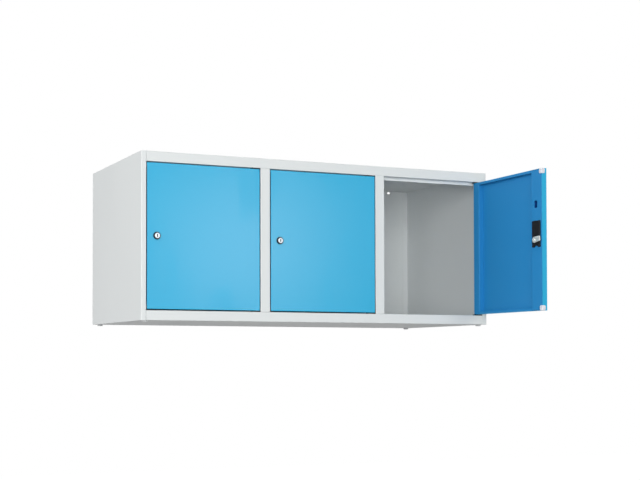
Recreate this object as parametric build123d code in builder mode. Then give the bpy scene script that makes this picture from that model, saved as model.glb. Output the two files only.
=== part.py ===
from build123d import *
import os
from math import cos, radians, sin

# Three-compartment steel top box with inset hinged doors and cylinder locks.
# The origin lies midway between the base bolt holes, on the underside.
# X runs to the right, Y to the back, Z up, and all sizes are in millimetres.

os.makedirs("parts", exist_ok=True)

# Body
body_width = 1200.0
body_depth = 500.0
body_height = 500.0
sheet = 1.0
bend_radius = 1.5
compartments = 3

# Front frame, seen from the front
stile_width = 16.0
mullion_width = 32.0
top_rail_height = 30.5
bottom_rail_height = 30.0

# Front frame, folded inwards
return_depth = 22.0
lip_width = 9.5
hem_width = 10.0
flange_width = 12.0
rear_flange_width = 20.0

# Doors
side_gap = 2.5
end_gap = 3.3
door_thickness = 17.5
door_edge_radius = 1.6
hinge_return = 30.0
hinge_wall_gap = 0.3
end_return = 8.5
channel_width = 53.0
channel_foot = 9.0
open_door = 3
open_angle = 90.0

# Hinges
axis_from_edge = 8.0
axis_depth = 5.5
pin_radius = 2.5
pin_collar_radius = 4.0
pin_collar_height = 5.0
running_clearance = 0.05
seat_gap = 0.3
bush_length = 28.0
bush_depth = 15.0
bush_wall = 1.0
bush_collar_stand = 1.0

# Locks
lock_from_edge = 30.5
lock_height = 250.0
barrel_radius = 8.0
barrel_stand = 6.0
barrel_body_radius = 7.3
barrel_body_flats = 12.4
rosette_radius = 11.4
rosette_stand = 4.5
rosette_taper = 14.0
plug_radius = 5.4
key_slot_width = 2.8
key_slot_length = 7.8
key_slot_depth = 14.0
nut_across_flats = 20.0
nut_height = 4.0
access_hole_radius = 12.0

# Lock case on the inner side of the door
case_width = 38.0
case_height = 81.0
case_thickness = 4.5
case_corner = 2.5
case_below_axis = 23.0
case_to_door_edge = 7.5
case_notch_width = 21.0
case_notch_depth = 5.0
case_edge = 0.8

# Cam
cam_gap = 0.6
cam_thickness = 2.5
cam_reach = 28.5
cam_hub_radius = 9.0
cam_tip_above = 10.5
cam_tip_below = 4.5
cam_tip_radius = 2.5
spigot_side = 7.0
screw_head_radius = 4.2
screw_head_height = 2.2
screw_socket_side = 3.0
thrown_turn = 0.0
drawn_turn = -90.0

# Slot above the lock in the door's channel
vent_slot_width = 14.0
vent_slot_height = 22.0
vent_slot_above_lock = 109.0

# Corner buffers of the doors
buffer_thickness = 3.2
buffer_edge_thickness = 1.0
buffer_on_face = 12.0
buffer_on_edge = 11.0
buffer_height = 16.0
buffer_corner = 2.0

# Feet, base bolt holes and wall slots
foot_radius = 8.5
foot_height = 4.5
foot_stem_radius = 3.0
foot_from_side = 20.0
foot_from_front = 20.0
base_bolt_radius = 3.5
base_bolt_from_side = 60.0
base_bolt_from_front = 60.0
wall_slot_length = 12.0
wall_slot_width = 7.0
wall_slot_from_side = 79.0
wall_slot_below_top = 6.5

# Planes and places that several pieces share
left = -body_width / 2
front = -body_depth / 2
back = body_depth / 2
half_sheet = sheet / 2
frame_back = front + return_depth
opening_bottom = bottom_rail_height
opening_top = body_height - top_rail_height
opening_height = opening_top - opening_bottom
opening_width = (body_width - 2 * stile_width - (compartments - 1) * mullion_width) / compartments
pitch = opening_width + mullion_width
lip_top = opening_top - lip_width
outer_bend = bend_radius + half_sheet

door_width = opening_width - 2 * side_gap
door_height = opening_height - 2 * end_gap
door_bottom = opening_bottom + end_gap
door_top = door_bottom + door_height
hinge_edge = axis_from_edge
lock_edge = axis_from_edge - door_width
door_middle = (hinge_edge + lock_edge) / 2
door_inner = door_thickness - axis_depth
lock_x = lock_edge + lock_from_edge

bush_thickness = end_gap - seat_gap
bush_collar_radius = pin_radius + running_clearance + bush_wall
case_face = door_thickness + case_thickness
barrel_end = case_face + cam_gap / 2
cam_depth = case_face + cam_gap
cam_face = cam_depth + cam_thickness
hinge_x_in_opening = opening_width - side_gap - axis_from_edge


def opening_left(number):
    """Left edge of a compartment's front opening, counted from 1."""
    return left + stile_width + (number - 1) * pitch


def mullion_centre(number):
    """Middle of the mullion to the right of a compartment."""
    return opening_left(number) + opening_width + mullion_width / 2


def door_plane(number):
    """Plan plane of a door at floor level: origin on the hinge axis, X along the door."""
    angle = radians(open_angle if number == open_door else 0)
    origin = (opening_left(number) + hinge_x_in_opening, front + axis_depth, 0)
    return Plane(origin=origin, x_dir=(cos(angle), sin(angle), 0), z_dir=(0, 0, 1))


def face_plane(door, depth):
    """Upright plane behind the door's front: X along the door, Y up, normal outwards."""
    origin = door.from_local_coords((0, depth - axis_depth, 0))
    return Plane(origin=origin, x_dir=door.x_dir, z_dir=-door.y_dir)


def lock_plane(door, depth, turn=0.0):
    """Upright plane centred on the lock's axis, turned about that axis."""
    return Plane(face_plane(door, depth) * Location((lock_x, lock_height, 0), (0, 0, turn)))


def lock_turn(number):
    """The open door's cam is thrown out, the closed doors' cams are drawn back."""
    return thrown_turn if number == open_door else drawn_turn


def save(piece, name):
    """Label a finished piece and write it to its own file."""
    piece.part.label = name
    export_step(piece.part, f"parts/{name}.step")


# Side panels
# Each side is one folded sheet: rear flange, wall, front stile, return and last fold.
# The last fold is a lip behind the door on the left and a hidden flange on the right.
def side_panel(name, side, last_fold):
    """One side wall; side is -1 on the left and 1 on the right."""
    wall_x = side * (body_width / 2 - half_sheet)
    stile_x = side * (body_width / 2 - stile_width + half_sheet)
    rear_y = back - 1.5 * sheet
    fold_y = frame_back - half_sheet
    with BuildPart() as panel:
        with BuildSketch(Plane.XY.offset(sheet)):
            with BuildLine():
                FilletPolyline(
                    (wall_x - side * rear_flange_width, rear_y),
                    (wall_x, rear_y),
                    (wall_x, front + half_sheet),
                    (stile_x, front + half_sheet),
                    (stile_x, fold_y),
                    (stile_x + last_fold, fold_y),
                    radius=bend_radius,
                )
            trace(line_width=sheet)
        extrude(amount=body_height - 2 * sheet)
        if side < 0:
            for low, high in ((sheet, opening_bottom), (lip_top, body_height)):
                with BuildSketch(Plane.XY.offset(low)):
                    with Locations((opening_left(1) + lip_width / 2, frame_back)):
                        Rectangle(lip_width, 2 * outer_bend)
                extrude(amount=high - low, mode=Mode.SUBTRACT)
    save(panel, name)


def sheet_ends(low):
    """The flat ends of the top or bottom sheet, which close the folded stiles."""
    with BuildSketch(Plane.XY.offset(low)) as ends:
        with GridLocations(body_width - stile_width, 0, 2, 1):
            Rectangle(stile_width, body_depth)
        columns = ends.vertices().group_by(Axis.X)
        front_corners = [columns[0].sort_by(Axis.Y)[0], columns[-1].sort_by(Axis.Y)[0]]
        fillet(front_corners, outer_bend)
    return ends.sketch


def bush_holes(low):
    """Holes for the collars of the hinge bushes, through a rail's return."""
    first_x = opening_left(1) + hinge_x_in_opening
    with BuildSketch(Plane.XY.offset(low)) as holes:
        with Locations([(first_x + gap * pitch, front + axis_depth) for gap in range(compartments)]):
            Circle(bush_collar_radius + running_clearance)
    return holes.sketch


# Top and bottom panels
# The top sheet folds down into the front rail, back into the return and down into the lip.
def top_panel():
    with BuildPart() as panel:
        with BuildSketch(Plane.YZ):
            with BuildLine():
                FilletPolyline(
                    (back, body_height - half_sheet),
                    (front + half_sheet, body_height - half_sheet),
                    (front + half_sheet, opening_top + half_sheet),
                    (frame_back - half_sheet, opening_top + half_sheet),
                    (frame_back - half_sheet, lip_top),
                    radius=bend_radius,
                )
            trace(line_width=sheet)
        extrude(amount=body_width / 2 - stile_width, both=True)
        extrude(sheet_ends(body_height - sheet), amount=sheet)
        extrude(bush_holes(opening_top), amount=sheet, mode=Mode.SUBTRACT)
    save(panel, "top_panel")


# The bottom sheet folds up into the front rail, back into the return and down into a hem.
def bottom_panel():
    with BuildPart() as panel:
        with BuildSketch(Plane.YZ):
            with BuildLine():
                FilletPolyline(
                    (back, half_sheet),
                    (front + half_sheet, half_sheet),
                    (front + half_sheet, opening_bottom - half_sheet),
                    (frame_back - half_sheet, opening_bottom - half_sheet),
                    (frame_back - half_sheet, opening_bottom - hem_width),
                    radius=bend_radius,
                )
            trace(line_width=sheet)
        extrude(amount=body_width / 2 - stile_width, both=True)
        extrude(sheet_ends(0), amount=sheet)
        extrude(bush_holes(opening_bottom - sheet), amount=sheet, mode=Mode.SUBTRACT)
        with BuildSketch(Plane.XY):
            with bolt_places():
                Circle(base_bolt_radius)
            with foot_places():
                Circle(foot_stem_radius + running_clearance)
        extrude(amount=sheet, mode=Mode.SUBTRACT)
    save(panel, "bottom_panel")


def bolt_places():
    """Corners of the bolt pattern in the underside."""
    across = body_width - 2 * base_bolt_from_side
    along = body_depth - 2 * base_bolt_from_front
    return GridLocations(across, along, 2, 2)


def foot_places():
    """Corners where the feet stand."""
    across = body_width - 2 * foot_from_side
    along = body_depth - 2 * foot_from_front
    return GridLocations(across, along, 2, 2)


# Back panel
# A flat sheet behind the flanges, with two slots under the top for wall screws.
def back_panel():
    slot_height = body_height - wall_slot_below_top
    with BuildPart() as panel:
        with BuildSketch(Plane.XZ.offset(-back)):
            with Locations((0, body_height / 2)):
                Rectangle(body_width, body_height - 2 * sheet)
            with Locations((0, slot_height)):
                with GridLocations(body_width - 2 * wall_slot_from_side, 0, 2, 1):
                    SlotOverall(wall_slot_length, wall_slot_width, mode=Mode.SUBTRACT)
        extrude(amount=sheet)
    save(panel, "back_panel")


# Mullions
# A folded post with a lip behind the door on its right and a flange inside on its left.
def mullion(number):
    middle = mullion_centre(number)
    half_width = mullion_width / 2 - half_sheet
    fold_y = frame_back - half_sheet
    with BuildPart() as post:
        with BuildSketch(Plane.XY.offset(opening_bottom)):
            with BuildLine():
                FilletPolyline(
                    (middle - half_width + flange_width / 2, fold_y),
                    (middle - half_width, fold_y),
                    (middle - half_width, front + half_sheet),
                    (middle + half_width, front + half_sheet),
                    (middle + half_width, fold_y),
                    (middle + mullion_width / 2 + lip_width, fold_y),
                    radius=bend_radius,
                )
            trace(line_width=sheet)
        extrude(amount=opening_height)
        with BuildSketch(Plane.XY.offset(lip_top)):
            with Locations((middle, frame_back)):
                Rectangle(mullion_width + 2 * lip_width, 2 * (sheet + bend_radius))
        extrude(amount=lip_width, mode=Mode.SUBTRACT)
    save(post, f"mullion_{number}")


# Partitions
# A flanged sheet from the mullion to the back panel, between the top and the bottom.
def partition(number):
    middle = mullion_centre(number)
    front_y = frame_back + half_sheet
    rear_y = back - 1.5 * sheet
    with BuildPart() as wall:
        with BuildSketch(Plane.XY.offset(sheet)):
            with BuildLine():
                FilletPolyline(
                    (middle - flange_width, front_y),
                    (middle, front_y),
                    (middle, rear_y),
                    (middle + flange_width, rear_y),
                    radius=bend_radius,
                )
            trace(line_width=sheet)
        extrude(amount=body_height - 2 * sheet)
    save(wall, f"partition_{number}")


# Hinge bushes
# A plastic plate fills the gap at the door's end, and its collar sits in the rail.
def hinge_bush(number, end):
    door_end = opening_bottom if end == "bottom" else opening_top
    up = 1 if end == "top" else -1
    right_edge = opening_left(number) + opening_width
    axis_x = opening_left(number) + hinge_x_in_opening
    with BuildPart() as bush:
        with BuildSketch(Plane.XY.offset(door_end)) as plate:
            with Locations((right_edge - bush_length / 2, front + sheet + bush_depth / 2)):
                Rectangle(bush_length, bush_depth)
            fillet(plate.vertices().sort_by(Axis.X)[:2], buffer_corner)
        extrude(amount=-up * bush_thickness)
        with BuildSketch(Plane.XY.offset(door_end)):
            with Locations((axis_x, front + axis_depth)):
                Circle(bush_collar_radius)
        extrude(amount=up * (sheet + bush_collar_stand))
        with BuildSketch(Plane.XY.offset(door_end - up * bush_thickness)):
            with Locations((axis_x, front + axis_depth)):
                Circle(pin_radius + running_clearance)
        extrude(amount=up * (bush_thickness + sheet + bush_collar_stand), mode=Mode.SUBTRACT)
    save(bush, f"hinge_bush_{end}_{number}")


# Feet
# A round glide with a stem that is pressed into the bottom sheet, flush inside.
def foot(name, place):
    x = place.position.X
    y = place.position.Y
    with BuildPart() as glide:
        with BuildSketch(Plane.XZ.offset(-y)):
            with BuildLine():
                Polyline(
                    (x, -foot_height),
                    (x + foot_radius, -foot_height),
                    (x + foot_radius, 0),
                    (x + foot_stem_radius, 0),
                    (x + foot_stem_radius, sheet),
                    (x, sheet),
                    close=True,
                )
            make_face()
        revolve(axis=Axis((x, y, 0), (0, 0, 1)))
    save(glide, name)


# Door skins
# A folded pan: front, four edge walls, and returns on three sides of its inner face.
# The hinge side's return folds down again, into a wall that stiffens the hinge edge.
def door_skin(number):
    door = door_plane(number)
    inward = Axis(door.origin, door.y_dir)
    middle = (door_middle, (door_bottom + door_top) / 2)
    inner_left = lock_edge + channel_width
    inner_right = hinge_edge - hinge_return
    fold_start = inner_right + outer_bend
    web_y = door_inner - half_sheet
    with BuildPart() as skin:
        with BuildSketch(face_plane(door, 0)):
            with Locations(middle):
                Rectangle(door_width, door_height)
        extrude(amount=-door_thickness)
        fillet(skin.faces().sort_by(inward)[0].edges(), door_edge_radius)
        offset(amount=-sheet, openings=skin.faces().sort_by(inward)[-1])
        with BuildSketch(face_plane(door, door_thickness - sheet)):
            with Locations(middle):
                Rectangle(door_width, door_height)
            with Locations(((inner_left + fold_start) / 2, middle[1])):
                Rectangle(fold_start - inner_left, door_height - 2 * end_return, mode=Mode.SUBTRACT)
            with Locations((lock_edge + (sheet + channel_width) / 2, middle[1])):
                Rectangle(channel_width - sheet, door_height - 2 * sheet, mode=Mode.SUBTRACT)
        extrude(amount=-sheet)
        with BuildSketch(door.offset(door_bottom + end_return)):
            with BuildLine():
                FilletPolyline(
                    (inner_right + 2 * outer_bend, web_y),
                    (inner_right + half_sheet, web_y),
                    (inner_right + half_sheet, sheet + hinge_wall_gap - axis_depth),
                    radius=bend_radius,
                )
            trace(line_width=sheet)
        extrude(amount=door_height - 2 * end_return)
        with BuildSketch(lock_plane(door, 0)):
            barrel_outline(running_clearance)
        extrude(amount=-sheet, mode=Mode.SUBTRACT)
        with BuildSketch(door.offset(door_bottom)):
            Circle(pin_radius + running_clearance)
        extrude(amount=door_height, mode=Mode.SUBTRACT)
    save(skin, f"door_{number}_skin")


def barrel_outline(clearance):
    """Round barrel with two flats, which keep it from turning in the door."""
    Circle(barrel_body_radius + clearance)
    wide = 2 * (barrel_body_radius + clearance)
    Rectangle(barrel_body_flats + 2 * clearance, wide, mode=Mode.INTERSECT)


# Door channels
# A folded channel stiffens the lock side and carries the lock's case.
def door_channel(number):
    door = door_plane(number)
    foot_y = sheet + half_sheet - axis_depth
    web_y = door_inner - half_sheet
    wall_x = lock_edge + sheet + half_sheet
    step_x = lock_edge + channel_width - half_sheet
    with BuildPart() as channel:
        with BuildSketch(door.offset(door_bottom + door_edge_radius)):
            with BuildLine():
                FilletPolyline(
                    (wall_x, foot_y + door_edge_radius),
                    (wall_x, web_y),
                    (step_x, web_y),
                    (step_x, foot_y),
                    (step_x - channel_foot, foot_y),
                    radius=bend_radius,
                )
            trace(line_width=sheet)
        extrude(amount=door_height - 2 * door_edge_radius)
        with BuildSketch(lock_plane(door, door_thickness - sheet)):
            Circle(access_hole_radius)
            with Locations((0, vent_slot_above_lock)):
                RectangleRounded(vent_slot_width, vent_slot_height, buffer_corner)
        extrude(amount=-sheet, mode=Mode.SUBTRACT)
    save(channel, f"door_{number}_channel")


# Hinge pins
# Two headed pins stand in the door's ends and turn in the bushes.
def hinge_pins(number):
    door = door_plane(number)
    reach = sheet + end_gap + sheet
    with BuildPart() as pins:
        for end, up in ((door_top - sheet, 1), (door_bottom + sheet, -1)):
            with BuildSketch(door.offset(end)):
                Circle(pin_radius)
            extrude(amount=up * reach)
            with BuildSketch(door.offset(end)):
                Circle(pin_collar_radius)
            extrude(amount=-up * pin_collar_height)
    save(pins, f"door_{number}_hinge_pins")


# Door buffers
# Two soft corner caps lie on the inner face and round the lock edge.
def door_buffers(number):
    door = door_plane(number)
    inner_x = lock_edge + buffer_on_face
    outer_x = lock_edge - buffer_edge_thickness
    face_y = door_inner + buffer_thickness
    with BuildPart() as buffers:
        for low in (door_bottom, door_top - buffer_height):
            with BuildSketch(door.offset(low)):
                with BuildLine():
                    Polyline(
                        (lock_edge, door_inner),
                        (inner_x, door_inner),
                        (inner_x, face_y),
                        (outer_x, face_y),
                        (outer_x, door_inner - buffer_on_edge),
                        (lock_edge, door_inner - buffer_on_edge),
                        close=True,
                    )
                make_face()
            extrude(amount=buffer_height)
        inward = Axis(door.origin, door.y_dir)
        faces = buffers.faces().group_by(inward)[-1]
        fillet(faces.edges(), buffer_edge_thickness)
    save(buffers, f"door_{number}_buffers")


# Lock cases
# A black plastic block on the channel, notched below, with a hole for the barrel.
def lock_case(number):
    door = door_plane(number)
    inward = Axis(door.origin, door.y_dir)
    middle_x = lock_edge + case_to_door_edge + case_width / 2 - lock_x
    middle_z = case_height / 2 - case_below_axis
    notch_radius = (case_notch_width**2 / 4 + case_notch_depth**2) / (2 * case_notch_depth)
    notch_z = -case_below_axis + case_notch_depth - notch_radius
    with BuildPart() as case:
        with BuildSketch(lock_plane(door, door_thickness)):
            with Locations((middle_x, middle_z)):
                RectangleRounded(case_width, case_height, case_corner)
            with Locations((middle_x, notch_z)):
                Circle(notch_radius, mode=Mode.SUBTRACT)
        extrude(amount=-case_thickness)
        chamfer(case.faces().sort_by(inward)[-1].edges(), case_edge)
        with BuildSketch(lock_plane(door, door_thickness)):
            Circle(barrel_body_radius + seat_gap)
        extrude(amount=-case_thickness, mode=Mode.SUBTRACT)
    save(case, f"lock_{number}_case")


# Lock rosettes
# A tapered black collar round the barrel on the door's front.
def lock_rosette(number):
    door = door_plane(number)
    with BuildPart() as rosette:
        with BuildSketch(lock_plane(door, 0)):
            Circle(rosette_radius)
        extrude(amount=rosette_stand, taper=rosette_taper)
        with BuildSketch(lock_plane(door, 0)):
            Circle(barrel_radius + running_clearance)
        extrude(amount=rosette_stand, mode=Mode.SUBTRACT)
    save(rosette, f"lock_{number}_rosette")


# Lock housings
# The fixed barrel: a round head in front and a flatted body through the door.
def lock_housing(number):
    door = door_plane(number)
    outward = Axis(door.origin, -door.y_dir)
    with BuildPart() as housing:
        with BuildSketch(lock_plane(door, 0)):
            Circle(barrel_radius)
        extrude(amount=barrel_stand)
        chamfer(housing.faces().sort_by(outward)[-1].edges(), case_edge)
        with BuildSketch(lock_plane(door, 0)):
            barrel_outline(0)
        extrude(amount=-barrel_end)
        with BuildSketch(lock_plane(door, -barrel_stand)):
            Circle(plug_radius + running_clearance)
        extrude(amount=-barrel_stand - barrel_end, mode=Mode.SUBTRACT)
    save(housing, f"lock_{number}_housing")


# Lock nuts
# A hexagon nut clamps the barrel on the door's front sheet, inside the channel.
def lock_nut(number):
    door = door_plane(number)
    with BuildPart() as nut:
        with BuildSketch(lock_plane(door, sheet)):
            RegularPolygon(nut_across_flats / 2, 6, major_radius=False)
            Circle(barrel_body_radius + running_clearance, mode=Mode.SUBTRACT)
        extrude(amount=-nut_height)
    save(nut, f"lock_{number}_nut")


# Lock plugs
# The turning core: a key slot in front and a square spigot for the cam behind.
def lock_plug(number):
    door = door_plane(number)
    turn = lock_turn(number)
    with BuildPart() as plug:
        with BuildSketch(lock_plane(door, -barrel_stand)):
            Circle(plug_radius)
        extrude(amount=-barrel_stand - barrel_end)
        with BuildSketch(lock_plane(door, -barrel_stand, turn)):
            Rectangle(key_slot_length, key_slot_width)
        extrude(amount=-key_slot_depth, mode=Mode.SUBTRACT)
        with BuildSketch(lock_plane(door, barrel_end, turn)):
            Rectangle(spigot_side, spigot_side)
        extrude(amount=barrel_end - cam_face)
    save(plug, f"lock_{number}_plug")


# Lock cams
# A cranked lever that turns behind the frame's lip.
def lock_cam(number):
    door = door_plane(number)
    with BuildPart() as cam:
        with BuildSketch(lock_plane(door, cam_depth, lock_turn(number))) as lever:
            with BuildLine():
                Polyline(
                    (0, cam_hub_radius),
                    (-cam_reach + cam_tip_radius, cam_tip_above),
                    (-cam_reach, -cam_tip_below),
                    (0, -cam_hub_radius),
                    close=True,
                )
            make_face()
            tip = lever.vertices().sort_by_distance((0, 0, 0))[-2:]
            fillet(tip, cam_tip_radius)
            Circle(cam_hub_radius)
            square = spigot_side + 2 * running_clearance
            Rectangle(square, square, mode=Mode.SUBTRACT)
        extrude(amount=-cam_thickness)
    save(cam, f"lock_{number}_cam")


# Cam screws
# A socket-headed screw holds the cam on the plug's spigot.
def cam_screw(number):
    door = door_plane(number)
    inward = Axis(door.origin, door.y_dir)
    with BuildPart() as screw:
        with BuildSketch(lock_plane(door, cam_face)):
            Circle(screw_head_radius)
        extrude(amount=-screw_head_height)
        chamfer(screw.faces().sort_by(inward)[-1].edges(), case_edge / 2)
        with BuildSketch(lock_plane(door, cam_face + screw_head_height)):
            RegularPolygon(screw_socket_side, 6, major_radius=False)
        extrude(amount=screw_head_height / 2, mode=Mode.SUBTRACT)
    save(screw, f"lock_{number}_cam_screw")


side_panel("side_panel_left", -1, lip_width + half_sheet)
side_panel("side_panel_right", 1, stile_width / 2)
top_panel()
bottom_panel()
back_panel()

for gap in range(1, compartments):
    mullion(gap)
    partition(gap)

with BuildPart():
    corners = foot_places().locations
for corner in corners:
    row = "front" if corner.position.Y < 0 else "rear"
    column = "left" if corner.position.X < 0 else "right"
    foot(f"foot_{row}_{column}", corner)

for number in range(1, compartments + 1):
    hinge_bush(number, "bottom")
    hinge_bush(number, "top")
    door_skin(number)
    door_channel(number)
    hinge_pins(number)
    door_buffers(number)
    lock_case(number)
    lock_rosette(number)
    lock_housing(number)
    lock_nut(number)
    lock_plug(number)
    lock_cam(number)
    cam_screw(number)
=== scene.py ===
# %% [markdown]
# # A three-compartment locker top box
# This lesson dresses a measured steel box in its paint, plastic and plating. The box stands high, as on top
# of a locker, so the camera looks up at it a little. The measured pieces come first and are never moved:
# every new piece and every finish is fitted to them.

# %% Load the measured pieces
import math

import bmesh
import bpy
import numpy as np
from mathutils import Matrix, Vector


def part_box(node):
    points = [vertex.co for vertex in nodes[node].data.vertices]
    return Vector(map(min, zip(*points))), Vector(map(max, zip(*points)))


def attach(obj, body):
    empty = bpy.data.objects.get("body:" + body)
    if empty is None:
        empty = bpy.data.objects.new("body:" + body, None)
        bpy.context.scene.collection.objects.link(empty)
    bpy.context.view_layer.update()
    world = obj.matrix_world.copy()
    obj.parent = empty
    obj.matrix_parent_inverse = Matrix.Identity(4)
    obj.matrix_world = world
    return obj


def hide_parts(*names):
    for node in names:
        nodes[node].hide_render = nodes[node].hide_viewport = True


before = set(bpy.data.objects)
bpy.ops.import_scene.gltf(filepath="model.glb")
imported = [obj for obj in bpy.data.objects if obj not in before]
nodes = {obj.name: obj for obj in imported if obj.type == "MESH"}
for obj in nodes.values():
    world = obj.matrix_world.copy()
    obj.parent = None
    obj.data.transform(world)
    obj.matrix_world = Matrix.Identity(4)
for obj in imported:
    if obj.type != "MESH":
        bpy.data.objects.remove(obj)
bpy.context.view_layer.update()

# %% [markdown]
# ## Camera
# The photograph's edges gave the camera by least squares: how far it stood away, how long its lens was, and
# how much of the frame was cut off on one side. A view camera's shift keeps the uprights upright, and only
# as much shift is used as the framing needs.

# %% Place the camera
PICTURE_WIDTH = 640
FOCAL_PIXELS = 1232.8
SENSOR_MM = 36.0
SHIFT_ACROSS, SHIFT_UP = 0.156, 0.1374
STANDS_AT = (-1.7551, -3.6752, -0.1172)
TILT, TURN = 91.5, -22.312
SEES_UNTIL = 200.0

lens = bpy.data.cameras.new("picture_camera")
lens.sensor_width = SENSOR_MM
lens.lens = FOCAL_PIXELS / PICTURE_WIDTH * SENSOR_MM
lens.shift_x = SHIFT_ACROSS
lens.shift_y = SHIFT_UP
lens.clip_end = SEES_UNTIL
camera = bpy.data.objects.new("picture_camera", lens)
camera.location = STANDS_AT
camera.rotation_euler = (math.radians(TILT), 0.0, math.radians(TURN))
bpy.context.scene.collection.objects.link(camera)
bpy.context.scene.camera = camera
bpy.context.scene.view_settings.view_transform = "Standard"
print("lens", round(lens.lens, 1), "mm, camera at", STANDS_AT, "m")

# %% [markdown]
# ## Studio
# A product studio for painted steel is a pale floor, a white surround and large soft lights. Five stand
# in front and at the left, and two behind the front plane, for the back, the top and the open door's outer
# face. Those two leave no glare, because paint seen at a low angle against the light would shine white. The
# surround is white for the eye and for reflections, but it lights the box with a quieter grey, so the paint
# keeps its own colour. The same split makes the floor white to look at while it still takes the box's
# shadow.


# %% Helpers that add a node and set or link its inputs
def feed(tree, socket, value):
    """Give an input its value, or link it where the value is another node's output."""
    if isinstance(value, bpy.types.NodeSocket):
        tree.links.new(value, socket)
    else:
        socket.default_value = value


def add(tree, kind, *settings, **inputs):
    """Add a node. settings are (name, value) pairs of the node itself; an input is named by its label,
    with _ for a space, or by its number as in i0."""
    made = tree.nodes.new(kind)
    for name, value in settings:
        setattr(made, name, value)
    for name, value in inputs.items():
        feed(tree, made.inputs[int(name[1:]) if name[1:].isdigit() else name.replace("_", " ")], value)
    return made


def seen_directly(tree):
    """1 where the ray comes from the eye, a reflection or a clear material, else 0."""
    path = add(tree, "ShaderNodeLightPath")
    either = add(tree, "ShaderNodeMath", ("operation", "MAXIMUM"),
                 i0=path.outputs["Is Camera Ray"], i1=path.outputs["Is Glossy Ray"])
    return add(tree, "ShaderNodeMath", ("operation", "MAXIMUM"),
               i0=either.outputs[0], i1=path.outputs["Is Transmission Ray"]).outputs[0]


print("node helpers:", feed.__name__, add.__name__, seen_directly.__name__)

# %% White surround that lights more softly than it looks
WHITE = (1.0, 1.0, 1.0, 1.0)
SURROUND_LIGHT = (0.29, 0.305, 0.31, 1.0)

world = bpy.data.worlds.new("white_surround")
world.use_nodes = True
bpy.context.scene.world = world
tree = world.node_tree
tree.nodes.clear()
looks = add(tree, "ShaderNodeBackground", Color=WHITE, Strength=1.0)
lights = add(tree, "ShaderNodeBackground", Color=SURROUND_LIGHT, Strength=1.0)
mixed = add(tree, "ShaderNodeMixShader", Fac=seen_directly(tree), i1=lights.outputs[0],
            i2=looks.outputs[0])
add(tree, "ShaderNodeOutputWorld", Surface=mixed.outputs[0])
print("surround lights with", SURROUND_LIGHT[:3])

# %% Pale floor far below the box
FLOOR_HEIGHT = -1.8
FLOOR_HALF = 14.0
FLOOR_GLOW = 0.98
PAPER_DARK, PAPER_PALE = 0.17, 0.20
PAPER_FIBRE = 3.0

floor_mesh = bpy.data.meshes.new("studio_floor")
floor_mesh.from_pydata([(-FLOOR_HALF, -FLOOR_HALF, FLOOR_HEIGHT), (FLOOR_HALF, -FLOOR_HALF, FLOOR_HEIGHT),
                        (FLOOR_HALF, FLOOR_HALF, FLOOR_HEIGHT), (-FLOOR_HALF, FLOOR_HALF, FLOOR_HEIGHT)],
                       [], [(0, 1, 2, 3)])
floor = bpy.data.objects.new("studio_floor", floor_mesh)
bpy.context.scene.collection.objects.link(floor)

floor_paper = bpy.data.materials.new("floor_paper")
floor_paper.use_nodes = True
tree = floor_paper.node_tree
tree.nodes.clear()
where = add(tree, "ShaderNodeTexCoord")
fibre = add(tree, "ShaderNodeTexNoise", Vector=where.outputs["Object"], Scale=PAPER_FIBRE, Detail=3.0)
tone = add(tree, "ShaderNodeMapRange", Value=fibre.outputs["Fac"], To_Min=PAPER_DARK, To_Max=PAPER_PALE)
paper = add(tree, "ShaderNodeBsdfDiffuse", Color=tone.outputs[0])
glow = add(tree, "ShaderNodeEmission", Color=WHITE, Strength=FLOOR_GLOW)
both = add(tree, "ShaderNodeAddShader", i0=paper.outputs[0], i1=glow.outputs[0])
mixed = add(tree, "ShaderNodeMixShader", Fac=seen_directly(tree), i1=paper.outputs[0],
            i2=both.outputs[0])
add(tree, "ShaderNodeOutputMaterial", Surface=mixed.outputs[0])
floor_mesh.materials.append(floor_paper)
print("floor", FLOOR_HEIGHT, "m")

# %% Soft lights
BOX_MIDDLE = np.array([0.0, -0.25, 0.25])


def soft_light(name, place, size, watts, colour, glare=True):
    """A square soft light that faces the middle of the box; without glare it leaves no shine."""
    data = bpy.data.lights.new(name, "AREA")
    data.shape = "SQUARE"
    data.size = size
    data.energy = watts
    data.color = colour
    lamp = bpy.data.objects.new(name, data)
    lamp.location = place
    towards = BOX_MIDDLE - np.array(place)
    across = math.hypot(towards[0], towards[1])
    lamp.rotation_euler = (math.atan2(across, -towards[2]), 0.0, math.atan2(-towards[0], towards[1]))
    lamp.visible_glossy = glare
    bpy.context.scene.collection.objects.link(lamp)


soft_light("key_soft_box", (-3.0, -4.3, 0.8), 2.4, 77.0, (1.0, 0.99, 0.97))
soft_light("fill_soft_box", (-0.9, -5.2, 0.9), 2.0, 48.0, (0.98, 1.0, 0.99))
soft_light("low_soft_box", (-2.1, -4.8, -0.5), 1.6, 46.0, (0.95, 0.99, 1.0))
soft_light("side_soft_box", (-4.6, -0.6, 0.7), 2.4, 76.0, (1.0, 1.0, 1.0))
soft_light("sheen_soft_box", (1.5, -4.4, 0.65), 0.85, 27.0, (1.0, 1.0, 1.0))
soft_light("back_soft_box", (2.6, 4.4, 3.0), 2.4, 95.0, (1.0, 1.0, 1.0), glare=False)
soft_light("top_soft_box", (1.0, 1.0, 3.2), 2.0, 16.0, (1.0, 1.0, 1.0), glare=False)

# %% [markdown]
# ## Shared surface effects
# Powder coat is a melted plastic skin: it has a fine orange peel, faint specks, and it thins and shines a
# little on sharp edges. Several finishes need the same effects, so each is a node group with named inputs
# that is built once. A group gives out only masks, values and heights; the shader stays in each material.


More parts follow.
